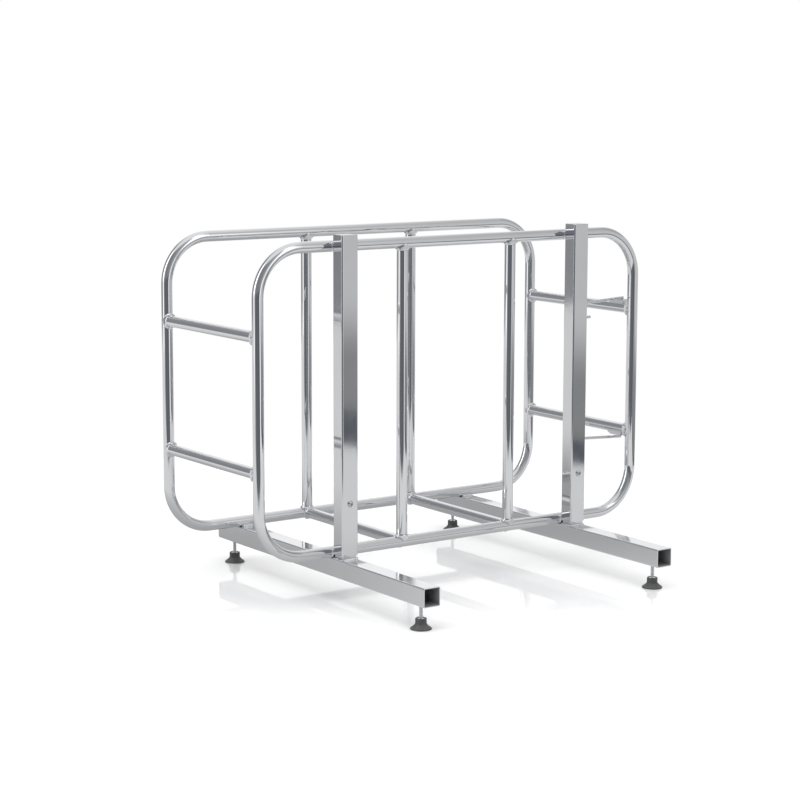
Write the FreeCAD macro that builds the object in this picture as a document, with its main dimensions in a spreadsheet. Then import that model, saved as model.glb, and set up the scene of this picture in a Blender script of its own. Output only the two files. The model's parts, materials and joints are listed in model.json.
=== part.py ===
import FreeCAD, Part
import math
import os

import Sketcher

# Luggage basket rack of bent and welded chrome tube on two levelled base beams.
# Frame: +X to the right, +Y to the rear, +Z up, millimetres.
# Origin: on the floor, under the middle of the rack's bounding box.

DOCUMENT_NAME = "LuggageRack"
SHEET_NAME = "Dims"

# Driving dimensions in millimetres (angles in degrees): alias, value, meaning.
DIMENSIONS = [
    ("tube_d", 18, "outer diameter of every round tube"),
    ("tube_wall", 1.5, "wall of every round tube"),
    ("hoop_length", 752, "hoop length between tube centres, along X"),
    ("hoop_height", 482, "hoop height between tube centres, along Z"),
    ("hoop_bend", 75, "centreline radius of the hoop's corners"),
    ("hoop_gap", 282, "front hoop to rear hoop, between tube centres, along Y"),
    ("front_hoop_y", -47, "plane of the front hoop"),
    ("hoop_base", 78, "height of the hoops' lower tube centre above the floor"),
    ("rod_spread", 216, "distance between a hoop's two rods"),
    ("rung_low", 137, "lower rungs above the hoops' lower tube"),
    ("rung_high", 348, "upper rungs above the hoops' lower tube"),
    ("weld_leg", 4, "leg of the weld flare at each end of a rod, rung or bar"),
    ("weld_bulge", 0.6, "how far a weld flare stands out beside its tube"),
    ("post_spread", 462, "distance between the posts' centres"),
    ("post_width", 30, "post width, along X"),
    ("post_depth", 26, "post depth, along Y"),
    ("post_bottom", 76, "height of the posts' lower ends"),
    ("post_top", 577, "height of the posts' upper ends"),
    ("profile_wall", 1.5, "wall of the posts, stubs and beams"),
    ("profile_corner", 2.5, "outer corner radius of the posts and beams"),
    ("cap_dome", 1.6, "rise of a post cap above the post"),
    ("cap_round", 1.3, "rounding of a post cap's upper edge"),
    ("cap_plug", 9, "depth of a post cap's plug"),
    ("cap_slip", 0.1, "gap between a cap's plug and the post's wall"),
    ("stub_slip", 0.3, "gap between a stub and the post over it"),
    ("stub_length", 128, "stub length above the beam"),
    ("screw_height", 159, "height of the post screws above the floor"),
    ("screw_d", 6, "post screw thread"),
    ("screw_length", 14, "post screw length under the head"),
    ("screw_chamfer", 0.6, "chamfer at the post screw's end"),
    ("head_d", 10.5, "button head diameter"),
    ("head_rise", 3.3, "button head height"),
    ("head_rim", 0.4, "height of the button head's upright rim"),
    ("head_crown_d", 4.4, "diameter of the button head's flat crown"),
    ("head_round", 5, "radius of the button head's dome"),
    ("socket_flats", 4, "button head's hexagon socket across flats"),
    ("socket_depth", 2, "button head's socket depth"),
    ("rivet_d", 9, "rivet nut body diameter"),
    ("rivet_length", 12, "rivet nut length behind the stub's wall"),
    ("rivet_flange", 12, "rivet nut flange diameter"),
    ("beam_size", 30, "side of the square base beams"),
    ("beam_length", 600, "length of the base beams"),
    ("beam_bottom", 39, "height of the beams' lower faces"),
    ("foot_inset", 28, "foot centre from a beam's end"),
    ("stem_d", 6, "foot stem thread"),
    ("stem_slip", 0.05, "running gap between stem and nut, and stem and pad"),
    ("stem_top", 52, "height of the stems' upper ends"),
    ("stem_hole_d", 7, "hole in the beam's lower wall for a stem"),
    ("nut_flats", 10, "foot nut across flats"),
    ("nut_height", 5, "foot nut height"),
    ("pad_d", 33, "foot pad diameter"),
    ("pad_rim", 2, "foot pad rim height"),
    ("pad_heel", 0.6, "inset of the foot pad's lower edge"),
    ("pad_heel_rise", 0.8, "height of the foot pad's slanted lower edge"),
    ("pad_cone", 9.2, "height of the foot pad's cone above the floor"),
    ("pad_flank", 23, "radius of the foot pad's hollow flank"),
    ("pad_height", 17, "height of the foot pad"),
    ("hub_flats", 16, "foot pad's hexagonal hub across flats"),
    ("hub_recess_d", 12.4, "recess in the hub for the stem's collar"),
    ("hub_recess", 2.6, "depth of the hub's recess"),
    ("collar_d", 11, "stem collar diameter"),
    ("collar_height", 2.2, "stem collar height"),
    ("stem_chamfer", 0.8, "chamfer on the stem's end and its collar"),
    ("stem_tail", 8, "length of the stem's tail inside the pad"),
    ("tail_room", 0.2, "room under the stem's tail"),
    ("wire_d", 5, "hook wire diameter"),
    ("hook_y", -22, "plane of the hook wires"),
    ("hook_above", 17, "upper hook wire's centre above its rung's centre"),
    ("hook_below", 15, "lower hook wire's centre below its rung's centre"),
    ("hook_tilt", 3, "angle of a hook's plane run to the horizontal, in degrees"),
    ("hook_reach", 95, "hook wire's run from the rung to its bend"),
    ("hook_bend", 12.5, "centreline radius of the hook's bend"),
    ("hook_return", 21, "run of the hook's returning leg"),
    ("wire_tip", 2, "rounding of a hook wire's end"),
    ("saddle_width", 12, "width of a hook saddle, along X"),
    ("saddle_front", 6, "saddle in front of the wire"),
    ("saddle_rear", 28, "saddle behind the wire"),
    ("saddle_slant", 8, "length of the saddle's slanted rear corner"),
    ("bead_size", 4, "half thickness of the posts' and base's weld beads"),
    ("bead_length", 22, "length of a weld bead between hoop and beam"),
    ("stub_weld_slope", 1.8, "chamfer along the top of the stubs' foot welds"),
    ("cut_over", 1, "how far a cutting outline runs past the face it opens"),
]


class Size:
    """A length that carries both its value and the sheet expression that drives it."""

    def __init__(self, value, text):
        self.value = float(value)
        self.text = text

    @staticmethod
    def of(other):
        return other if isinstance(other, Size) else Size(other, repr(float(other)))

    def combine(self, other, sign, value):
        return Size(value, f"({self.text} {sign} {other.text})")

    def __add__(self, other):
        other = Size.of(other)
        return self.combine(other, "+", self.value + other.value)

    def __radd__(self, other):
        return Size.of(other) + self

    def __sub__(self, other):
        other = Size.of(other)
        return self.combine(other, "-", self.value - other.value)

    def __rsub__(self, other):
        return Size.of(other) - self

    def __mul__(self, other):
        other = Size.of(other)
        return self.combine(other, "*", self.value * other.value)

    def __rmul__(self, other):
        return Size.of(other) * self

    def __truediv__(self, other):
        other = Size.of(other)
        return self.combine(other, "/", self.value / other.value)

    def __neg__(self):
        return Size.of(0) - self


doc = FreeCAD.newDocument(DOCUMENT_NAME)


def write_sheet():
    """Fills the sheet and returns each dimension as a Size under its alias."""
    sheet = doc.addObject("Spreadsheet::Sheet", SHEET_NAME)
    sizes = {}
    for row, (alias, value, meaning) in enumerate(DIMENSIONS, start=1):
        sheet.set(f"A{row}", str(value))
        sheet.setAlias(f"A{row}", alias)
        sheet.set(f"B{row}", meaning)
        sizes[alias] = Size(value, f"{SHEET_NAME}.{alias}")
    doc.recompute()
    return sizes


dim = write_sheet()
zero = Size.of(0)
vector = FreeCAD.Vector

tube_r = dim["tube_d"] / 2
bore_r = tube_r - dim["tube_wall"]
rear_hoop_y = dim["front_hoop_y"] + dim["hoop_gap"]
half_length = dim["hoop_length"] / 2
beam_top = dim["beam_bottom"] + dim["beam_size"]
post_y = dim["front_hoop_y"] - tube_r - dim["post_depth"] / 2
post_front = dim["front_hoop_y"] - tube_r - dim["post_depth"]
post_inner_width = dim["post_width"] - 2 * dim["profile_wall"]
post_inner_depth = dim["post_depth"] - 2 * dim["profile_wall"]
post_inner_corner = dim["profile_corner"] - dim["profile_wall"]
stub_width = post_inner_width - 2 * dim["stub_slip"]
stub_depth = post_inner_depth - 2 * dim["stub_slip"]
foot_y = dim["beam_length"] / 2 - dim["foot_inset"]

SIDES = {"left": -1, "right": 1}

# Turns from a piece's own axes to the rack's.
UPRIGHT = FreeCAD.Rotation()
TO_REAR = FreeCAD.Rotation(vector(1, 0, 0), vector(0, 0, -1), vector(0, 1, 0), "ZXY")
TO_REAR_ON_SIDE = FreeCAD.Rotation(vector(0, 0, 1), vector(1, 0, 0), vector(0, 1, 0), "ZXY")
TO_FRONT = FreeCAD.Rotation(vector(1, 0, 0), vector(0, 0, 1), vector(0, -1, 0), "ZXY")

parts = []


# ---------------------------------------------------------------- helpers


def place(feature, x=zero, y=zero, z=zero, turn=UPRIGHT):
    """Sets a piece's place from the sheet, with a fixed turn."""
    x, y, z = (Size.of(value) for value in (x, y, z))
    feature.Placement = FreeCAD.Placement(vector(x.value, y.value, z.value), turn)
    feature.setExpression("Placement.Base.x", x.text)
    feature.setExpression("Placement.Base.y", y.text)
    feature.setExpression("Placement.Base.z", z.text)


def keep(feature, name):
    """Names a finished piece and keeps it for writing."""
    feature.Label = name
    parts.append(feature)
    return feature


def new_body(name):
    return doc.addObject("PartDesign::Body", "Body_" + name)


def new_sketch(body, name, plane_role):
    """Makes a sketch on one of the body's own origin planes."""
    sketch = body.newObject("Sketcher::SketchObject", name)
    plane = next(f for f in body.Origin.OriginFeatures if f.Role == plane_role)
    sketch.AttachmentSupport = (plane, [""])
    sketch.MapMode = "FlatFace"
    return sketch


def bind(sketch, constraint, size):
    """Adds a dimension to a sketch and binds it to the sheet."""
    index = sketch.addConstraint(constraint)
    sketch.setExpression(f"Constraints[{index}]", size.text)


def pin_point(sketch, geometry, end, point):
    """Fixes a point of the sketch at sheet-driven coordinates."""
    for kind, size in (("DistanceX", point[0]), ("DistanceY", point[1])):
        bind(sketch, Sketcher.Constraint(kind, -1, 1, geometry, end, size.value), size)


def add_circle(sketch, radius, x=zero, y=zero):
    centre = vector(x.value, y.value, 0)
    index = sketch.addGeometry(Part.Circle(centre, vector(0, 0, 1), radius.value))
    bind(sketch, Sketcher.Constraint("Radius", index, radius.value), radius)
    pin_point(sketch, index, 3, (x, y))


def arc_between(start, end, radius, turning):
    """The arc from start to end, turning left (1) or right (-1), under half a circle."""
    middle = (start + end) * 0.5
    chord = end - start
    rise = math.sqrt(max(radius**2 - (chord.Length / 2) ** 2, 0))
    normal = vector(-chord.y, chord.x, 0).normalize() * turning
    centre = middle + normal * rise
    first, second = (start, end) if turning > 0 else (end, start)
    angles = [math.atan2(p.y - centre.y, p.x - centre.x) for p in (first, second)]
    if angles[1] < angles[0]:
        angles[1] += 2 * math.pi
    circle = Part.Circle(centre, vector(0, 0, 1), radius)
    return Part.ArcOfCircle(circle, *angles)


def add_outline(sketch, points, arcs=None, closed=True):
    """Draws a chain of edges; arcs maps an edge's number to its (radius, turning)."""
    arcs = arcs or {}
    flat = [vector(x.value, y.value, 0) for x, y in points]
    first = None
    previous = None
    for number, start in enumerate(flat if closed else flat[:-1]):
        end = flat[(number + 1) % len(flat)]
        if number in arcs:
            radius, turning = arcs[number]
            index = sketch.addGeometry(arc_between(start, end, radius.value, turning))
            bind(sketch, Sketcher.Constraint("Radius", index, radius.value), radius)
            ends = (1, 2) if turning > 0 else (2, 1)
        else:
            index = sketch.addGeometry(Part.LineSegment(start, end))
            ends = (1, 2)
        pin_point(sketch, index, ends[0], points[number])
        if previous:
            sketch.addConstraint(Sketcher.Constraint("Coincident", *previous, index, ends[0]))
        first = first or (index, ends[0])
        previous = (index, ends[1])
    if closed:
        sketch.addConstraint(Sketcher.Constraint("Coincident", *previous, *first))
    else:
        pin_point(sketch, *previous, points[-1])


def add_rectangle(sketch, width, depth, corner, x=zero, y=zero):
    """Draws a rectangle with round corners about (x, y)."""
    half_w, half_d = width / 2, depth / 2
    points = [
        (x - half_w + corner, y - half_d),
        (x + half_w - corner, y - half_d),
        (x + half_w, y - half_d + corner),
        (x + half_w, y + half_d - corner),
        (x + half_w - corner, y + half_d),
        (x - half_w + corner, y + half_d),
        (x - half_w, y + half_d - corner),
        (x - half_w, y - half_d + corner),
    ]
    add_outline(sketch, points, {edge: (corner, 1) for edge in (1, 3, 5, 7)})


def add_hexagon(sketch, flats):
    """Draws a hexagon about the origin with two flats along X."""
    corner = flats / math.sqrt(3)
    points = []
    for step in range(6):
        angle = math.radians(60 * step)
        points.append((corner * math.cos(angle), corner * math.sin(angle)))
    add_outline(sketch, points)


def pad(body, sketch, length, middle=False, reverse=False):
    doc.recompute()
    feature = body.newObject("PartDesign::Pad", "Pad")
    feature.Profile = sketch
    feature.Length = length.value
    feature.setExpression("Length", length.text)
    feature.Midplane = middle
    feature.Reversed = reverse
    doc.recompute()
    return feature


def revolve(body, sketch, cut=False):
    """Turns a sketch on the XZ plane right round the piece's own Z axis."""
    doc.recompute()
    kind = "PartDesign::Groove" if cut else "PartDesign::Revolution"
    feature = body.newObject(kind, kind.split("::")[1])
    feature.Profile = sketch
    feature.ReferenceAxis = (sketch, ["V_Axis"])
    feature.Angle = 360
    doc.recompute()
    return feature


def pocket(body, sketch, depth=None, reverse=False):
    """Cuts a sketch through the body, both ways or to a depth, and checks that it cut."""
    doc.recompute()
    before = body.Shape.Volume
    feature = body.newObject("PartDesign::Pocket", "Pocket")
    feature.Profile = sketch
    feature.Reversed = reverse
    if depth is None:
        feature.Type = "ThroughAll"
        feature.Midplane = True
    else:
        feature.Length = depth.value
        feature.setExpression("Length", depth.text)
    doc.recompute()
    if body.Shape.Volume >= before:
        raise RuntimeError(f"{body.Label}: {sketch.Label} cuts nothing")
    return feature


def primitive(kind, name, sizes, x, y, z, turn=UPRIGHT):
    """A Part primitive with every given size bound to the sheet."""
    feature = doc.addObject("Part::" + kind, name)
    for key, size in sizes.items():
        size = Size.of(size)
        setattr(feature, key, size.value)
        feature.setExpression(key, size.text)
    place(feature, x, y, z, turn)
    return feature


def combine(kind, name, pieces):
    feature = doc.addObject("Part::" + kind, name)
    if kind == "Cut":
        feature.Base, feature.Tool = pieces
    elif kind == "Compound":
        feature.Links = pieces
    else:
        feature.Shapes = pieces
    return feature


# ---------------------------------------------------------------- cage


def make_hoop(name, y):
    """A rounded rectangle of bent tube, standing in the XZ plane."""
    body = new_body(name)
    length, height, bend = half_length, dim["hoop_height"], dim["hoop_bend"]
    path = new_sketch(body, "HoopPath", "XZ_Plane")
    points = [
        (zero, zero),
        (length - bend, zero),
        (length, bend),
        (length, height - bend),
        (length - bend, height),
        (bend - length, height),
        (-length, height - bend),
        (-length, bend),
        (bend - length, zero),
    ]
    add_outline(path, points, {edge: (bend, 1) for edge in (1, 3, 5, 7)})
    for section_name, kind, radius in (
        ("TubeSection", "PartDesign::AdditivePipe", tube_r),
        ("BoreSection", "PartDesign::SubtractivePipe", bore_r),
    ):
        section = new_sketch(body, section_name, "YZ_Plane")
        add_circle(section, radius)
        doc.recompute()
        pipe = body.newObject(kind, kind.split("::")[1])
        pipe.Profile = section
        pipe.Spine = path
        doc.recompute()
    place(body, y=y, z=dim["hoop_base"])
    return keep(body, name)


def make_strut(name, length, x, y, z, turn):
    """A tube between two crossing tubes, with saddle ends and a weld flare at each."""
    body = new_body(name)
    leg = dim["weld_leg"]
    profile = new_sketch(body, "StrutProfile", "XZ_Plane")
    points = [
        (bore_r, zero),
        (tube_r, zero),
        (tube_r, tube_r - leg),
        (tube_r + leg, tube_r),
        (tube_r, tube_r + leg),
        (tube_r, length - tube_r - leg),
        (tube_r + leg, length - tube_r),
        (tube_r, length - tube_r + leg),
        (tube_r, length),
        (bore_r, length),
    ]
    add_outline(profile, points, {3: (leg, -1), 5: (leg, -1)})
    revolve(body, profile)
    saddles = new_sketch(body, "Saddles", "YZ_Plane")
    add_circle(saddles, tube_r)
    add_circle(saddles, tube_r, y=length)
    pocket(body, saddles)
    sides = new_sketch(body, "FlareSides", "YZ_Plane")
    beside = tube_r + dim["weld_bulge"]
    for sign in SIDES.values():
        add_rectangle(sides, leg * 2, length, leg / 4, x=sign * (beside + leg), y=length / 2)
    pocket(body, sides)
    place(body, x, y, z, turn)
    return body


def make_cross_bar(name, x, rods):
    """A strut along the bottom, cut back where the hoops' rods stand beside its ends."""
    front, base = dim["front_hoop_y"], dim["hoop_base"]
    blank = make_strut(name + "_blank", dim["hoop_gap"], x, front, base, TO_REAR)
    core = {"Radius": tube_r, "Height": dim["hoop_height"]}
    collar = {"Radius": tube_r + dim["weld_leg"], "Height": tube_r}
    cutters = []
    for end, y in (("front", front), ("rear", rear_hoop_y)):
        cutters.append(primitive("Cylinder", f"{name}_core_{end}", core, x, y, base))
        above = base + tube_r
        cutters.append(primitive("Cylinder", f"{name}_collar_{end}", collar, x, y, above))
    tools = combine("MultiFuse", name + "_tools", rods + cutters)
    return keep(combine("Cut", name, (blank, tools)), name)


def make_cage():
    front, base = dim["front_hoop_y"], dim["hoop_base"]
    make_hoop("front_hoop", front)
    make_hoop("rear_hoop", rear_hoop_y)
    for side, sign in SIDES.items():
        rod_x = sign * dim["rod_spread"] / 2
        rods = []
        for end, y in (("front", front), ("rear", rear_hoop_y)):
            name = f"{end}_rod_{side}"
            rod = make_strut(name, dim["hoop_height"], rod_x, y, base, UPRIGHT)
            rods.append(keep(rod, name))
        make_cross_bar(f"cross_bar_{side}", rod_x, rods)
        for level, rise in (("lower", dim["rung_low"]), ("upper", dim["rung_high"])):
            name = f"{side}_rung_{level}"
            rung_x = sign * half_length
            rung_z = base + rise
            rung = make_strut(name, dim["hoop_gap"], rung_x, front, rung_z, TO_REAR_ON_SIDE)
            keep(rung, name)


# ---------------------------------------------------------------- posts and base


def make_post(name, x):
    """A rectangular tube against the front hoop, with its screw hole in front."""
    body = new_body(name)
    section = new_sketch(body, "PostSection", "XY_Plane")
    add_rectangle(section, dim["post_width"], dim["post_depth"], dim["profile_corner"])
    add_rectangle(section, post_inner_width, post_inner_depth, post_inner_corner)
    pad(body, section, dim["post_top"] - dim["post_bottom"])
    hole = new_sketch(body, "ScrewHole", "XZ_Plane")
    add_circle(hole, dim["screw_d"] / 2, y=dim["screw_height"] - dim["post_bottom"])
    pocket(body, hole, dim["post_depth"], reverse=True)
    place(body, x, post_y, dim["post_bottom"])
    return keep(body, name)


def make_post_cap(name, x):
    """A domed lid that covers the post's end, with a plug inside it."""
    body = new_body(name)
    lid = new_sketch(body, "Lid", "XY_Plane")
    add_rectangle(lid, dim["post_width"], dim["post_depth"], dim["profile_corner"])
    lid_pad = pad(body, lid, dim["cap_dome"])
    rim = [
        f"Edge{number}"
        for number, edge in enumerate(lid_pad.Shape.Edges, start=1)
        if edge.BoundBox.ZMin > dim["cap_dome"].value / 2
    ]
    dome = body.newObject("PartDesign::Fillet", "Dome")
    dome.Base = (lid_pad, rim)
    dome.Radius = dim["cap_round"].value
    dome.setExpression("Radius", dim["cap_round"].text)
    doc.recompute()
    plug = new_sketch(body, "Plug", "XY_Plane")
    slip = 2 * dim["cap_slip"]
    add_rectangle(plug, post_inner_width - slip, post_inner_depth - slip, post_inner_corner)
    pad(body, plug, dim["cap_plug"], reverse=True)
    place(body, x, post_y, dim["post_top"])
    return keep(body, name)


def make_stub(name, x):
    """The spigot on the beam that the post slides over."""
    body = new_body(name)
    wall = dim["profile_wall"]
    section = new_sketch(body, "StubSection", "XY_Plane")
    add_rectangle(section, stub_width, stub_depth, post_inner_corner)
    inner_corner = post_inner_corner / 2
    add_rectangle(section, stub_width - 2 * wall, stub_depth - 2 * wall, inner_corner)
    pad(body, section, dim["stub_length"])
    hole = new_sketch(body, "NutHole", "XZ_Plane")
    add_circle(hole, dim["rivet_d"] / 2, y=dim["screw_height"] - beam_top)
    pocket(body, hole, dim["post_depth"], reverse=True)
    place(body, x, post_y, beam_top)
    return keep(body, name)


def make_stub_weld(name, x):
    """The fillet weld that runs round the stub's foot on the beam."""
    body = new_body(name)
    leg = dim["bead_size"]
    weld = new_sketch(body, "WeldFoot", "XY_Plane")
    corner = post_inner_corner + leg / 2
    add_rectangle(weld, stub_width + leg, stub_depth + 2 * leg, corner)
    weld_pad = pad(body, weld, leg)
    rim = [
        f"Edge{number}"
        for number, edge in enumerate(weld_pad.Shape.Edges, start=1)
        if edge.BoundBox.ZMin > leg.value / 2
    ]
    slope = body.newObject("PartDesign::Chamfer", "WeldSlope")
    slope.Base = (weld_pad, rim)
    slope.Size = dim["stub_weld_slope"].value
    slope.setExpression("Size", dim["stub_weld_slope"].text)
    doc.recompute()
    opening = new_sketch(body, "StubOutline", "XY_Plane")
    add_rectangle(opening, stub_width, stub_depth, post_inner_corner)
    pocket(body, opening)
    place(body, x, post_y, beam_top)
    return keep(body, name)


def make_screw(name, x):
    """A button-head socket screw whose head rests on the post's front face."""
    body = new_body(name)
    head_r, crown_r = dim["head_d"] / 2, dim["head_crown_d"] / 2
    shank_r, chamfer = dim["screw_d"] / 2, dim["screw_chamfer"]
    rise = dim["head_rise"]
    profile = new_sketch(body, "ScrewProfile", "XZ_Plane")
    points = [
        (zero, -dim["screw_length"]),
        (shank_r - chamfer, -dim["screw_length"]),
        (shank_r, chamfer - dim["screw_length"]),
        (shank_r, zero),
        (head_r, zero),
        (head_r, dim["head_rim"]),
        (crown_r, rise),
        (zero, rise),
    ]
    add_outline(profile, points, {5: (dim["head_round"], 1)})
    revolve(body, profile)
    socket = new_sketch(body, "Socket", "XY_Plane")
    socket.AttachmentOffset = FreeCAD.Placement(vector(0, 0, rise.value), UPRIGHT)
    socket.setExpression("AttachmentOffset.Base.z", rise.text)
    add_hexagon(socket, dim["socket_flats"])
    pocket(body, socket, dim["socket_depth"])
    place(body, x, post_front, dim["screw_height"], TO_FRONT)
    return keep(body, name)


def make_rivet_nut(name, x):
    """A flanged nut set in the stub's front wall that takes the post screw."""
    body = new_body(name)
    body_r, flange_r = dim["rivet_d"] / 2, dim["rivet_flange"] / 2
    wall = dim["profile_wall"]
    profile = new_sketch(body, "NutProfile", "XZ_Plane")
    thread_r = dim["screw_d"] / 2
    points = [
        (thread_r, zero),
        (body_r, zero),
        (body_r, wall),
        (flange_r, wall),
        (flange_r, wall * 2),
        (body_r, wall * 3),
        (body_r, dim["rivet_length"]),
        (thread_r, dim["rivet_length"]),
    ]
    add_outline(profile, points)
    revolve(body, profile)
    place(body, x, post_y - stub_depth / 2, dim["screw_height"], TO_REAR)
    return keep(body, name)


def make_beam(name, x):
    """A square tube from front to rear with open ends and two holes for the feet."""
    body = new_body(name)
    side, wall = dim["beam_size"], dim["profile_wall"]
    corner = dim["profile_corner"]
    section = new_sketch(body, "BeamSection", "XZ_Plane")
    add_rectangle(section, side, side, corner, y=side / 2)
    inner = side - 2 * wall
    add_rectangle(section, inner, inner, corner - wall, y=side / 2)
    pad(body, section, dim["beam_length"], middle=True)
    holes = new_sketch(body, "StemHoles", "XY_Plane")
    for sign in SIDES.values():
        add_circle(holes, dim["stem_hole_d"] / 2, y=sign * foot_y)
    pocket(body, holes, side / 2, reverse=True)
    place(body, x, zero, dim["beam_bottom"])
    return keep(body, name)


# ---------------------------------------------------------------- weld beads


def tube_blank(name, y, z):
    """The outside of a hoop's straight tube, for shaping the beads laid on it."""
    turn = FreeCAD.Rotation(vector(0, 1, 0), 90)
    sizes = {"Radius": tube_r, "Height": dim["hoop_length"]}
    return primitive("Cylinder", name, sizes, -half_length, y, z, turn)


def make_post_welds(name, x):
    """Four beads where the front hoop's tubes meet the post's rear edges."""
    size = dim["bead_size"]
    front = dim["front_hoop_y"]
    levels = (dim["hoop_base"], dim["hoop_base"] + dim["hoop_height"])
    beads = []
    for number, z in enumerate(levels):
        for side, sign in SIDES.items():
            bead_x = x + sign * (dim["post_width"] / 2 + size / 4)
            bead_y = front - tube_r - size / 8
            sizes = {"Radius": size, "Height": size * 2}
            label = f"{name}_bead_{side}_{number}"
            beads.append(primitive("Cylinder", label, sizes, bead_x, bead_y, z - size))
    blank = primitive(
        "Box",
        name + "_post",
        {
            "Length": dim["post_width"],
            "Width": dim["post_depth"],
            "Height": dim["post_top"],
        },
        x - dim["post_width"] / 2,
        post_front,
        zero,
    )
    tubes = [tube_blank(f"{name}_tube_{n}", front, z) for n, z in enumerate(levels)]
    tools = combine("MultiFuse", name + "_tools", [blank] + tubes)
    shaped = [combine("Cut", bead.Name + "_cut", (bead, tools)) for bead in beads]
    return keep(combine("Compound", name, shaped), name)


def make_base_welds(name, x):
    """Beads in the nips between the hoops' lower tubes and the beam's top."""
    size = dim["bead_size"]
    turn = FreeCAD.Rotation(vector(0, 1, 0), 90)
    front = dim["front_hoop_y"]
    sides = {
        "front_inner": (front, 1),
        "rear_inner": (rear_hoop_y, -1),
        "rear_outer": (rear_hoop_y, 1),
    }
    beads = []
    for side, (y, sign) in sides.items():
        sizes = {"Radius": size, "Height": dim["bead_length"]}
        bead_y = y + sign * (tube_r - size / 4)
        start = x - dim["bead_length"] / 2
        label = f"{name}_{side}"
        beads.append(primitive("Cylinder", label, sizes, start, bead_y, beam_top, turn))
    blank = primitive(
        "Box",
        name + "_beam",
        {"Length": dim["beam_size"], "Width": dim["beam_length"], "Height": dim["beam_size"]},
        x - dim["beam_size"] / 2,
        -dim["beam_length"] / 2,
        dim["beam_bottom"],
    )
    tubes = [
        tube_blank(f"{name}_tube_{number}", y, dim["hoop_base"])
        for number, y in enumerate((front, rear_hoop_y))
    ]
    tools = combine("MultiFuse", name + "_tools", [blank] + tubes)
    shaped = [combine("Cut", bead.Name + "_cut", (bead, tools)) for bead in beads]
    return keep(combine("Compound", name, shaped), name)


def make_posts_and_base():
    for side, sign in SIDES.items():
        x = sign * dim["post_spread"] / 2
        make_post(f"post_{side}", x)
        make_post_cap(f"post_cap_{side}", x)
        make_stub(f"post_stub_{side}", x)
        make_stub_weld(f"stub_weld_{side}", x)
        make_post_welds(f"post_welds_{side}", x)
        make_base_welds(f"base_welds_{side}", x)
        make_screw(f"post_screw_{side}", x)
        make_rivet_nut(f"rivet_nut_{side}", x)
        make_beam(f"base_beam_{side}", x)


# ---------------------------------------------------------------- feet


def make_foot_nut(name, x, y):
    """A hexagon nut welded inside the beam over the stem's hole."""
    body = new_body(name)
    outline = new_sketch(body, "NutOutline", "XY_Plane")
    add_hexagon(outline, dim["nut_flats"])
    add_circle(outline, dim["stem_d"] / 2 + dim["stem_slip"])
    pad(body, outline, dim["nut_height"])
    place(body, x, y, dim["beam_bottom"] + dim["profile_wall"])
    return keep(body, name)


def make_foot_stem(name, x, y):
    """A threaded stem with a collar that turns in the pad's hub."""
    body = new_body(name)
    stem_r, collar_r = dim["stem_d"] / 2, dim["collar_d"] / 2
    floor_of_recess = dim["pad_height"] - dim["hub_recess"]
    collar_bottom = floor_of_recess + dim["stem_slip"]
    tail = collar_bottom - dim["stem_tail"]
    collar_top = collar_bottom + dim["collar_height"]
    chamfer = dim["stem_chamfer"]
    profile = new_sketch(body, "StemProfile", "XZ_Plane")
    points = [
        (zero, tail),
        (stem_r, tail),
        (stem_r, collar_bottom),
        (collar_r, collar_bottom),
        (collar_r, collar_top - chamfer),
        (collar_r - chamfer, collar_top),
        (stem_r, collar_top),
        (stem_r, dim["stem_top"] - chamfer),
        (stem_r - chamfer, dim["stem_top"]),
        (zero, dim["stem_top"]),
    ]
    add_outline(profile, points)
    revolve(body, profile)
    place(body, x, y)
    return keep(body, name)


def make_foot_pad(name, x, y):
    """A plastic foot: a flared base under a hexagonal hub with a round recess."""
    body = new_body(name)
    pad_r, rim, cone = dim["pad_d"] / 2, dim["pad_rim"], dim["pad_cone"]
    neck_r = dim["hub_flats"] / 2
    profile = new_sketch(body, "PadProfile", "XZ_Plane")
    points = [
        (zero, zero),
        (pad_r - dim["pad_heel"], zero),
        (pad_r, dim["pad_heel_rise"]),
        (pad_r, rim),
        (neck_r, cone),
        (zero, cone),
    ]
    add_outline(profile, points, {3: (dim["pad_flank"], -1)})
    revolve(body, profile)
    hub = new_sketch(body, "Hub", "XY_Plane")
    add_hexagon(hub, dim["hub_flats"])
    pad(body, hub, dim["pad_height"])
    recess_r = dim["hub_recess_d"] / 2
    hole_r = dim["stem_d"] / 2 + dim["stem_slip"]
    recess_floor = dim["pad_height"] - dim["hub_recess"]
    hole_floor = recess_floor - dim["stem_tail"] - dim["tail_room"]
    above = dim["pad_height"] + dim["cut_over"]
    recess = new_sketch(body, "Recess", "XZ_Plane")
    hollow = [
        (zero, hole_floor),
        (hole_r, hole_floor),
        (hole_r, recess_floor),
        (recess_r, recess_floor),
        (recess_r, above),
        (zero, above),
    ]
    add_outline(recess, hollow)
    revolve(body, recess, cut=True)
    place(body, x, y)
    return keep(body, name)


def make_feet():
    for end, y_sign in (("front", -1), ("rear", 1)):
        for side, x_sign in SIDES.items():
            x = x_sign * dim["post_spread"] / 2
            y = y_sign * foot_y
            make_foot_nut(f"foot_nut_{end}_{side}", x, y)
            make_foot_stem(f"foot_stem_{end}_{side}", x, y)
            make_foot_pad(f"foot_pad_{end}_{side}", x, y)


# ---------------------------------------------------------------- wire hooks at the right end


def at_return_end(edge):
    """True for the round edge of the wire's returning end."""
    middle = edge.BoundBox.Center
    return edge.BoundBox.XLength < 0.01 and abs(middle.z) > dim["hook_bend"].value


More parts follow.
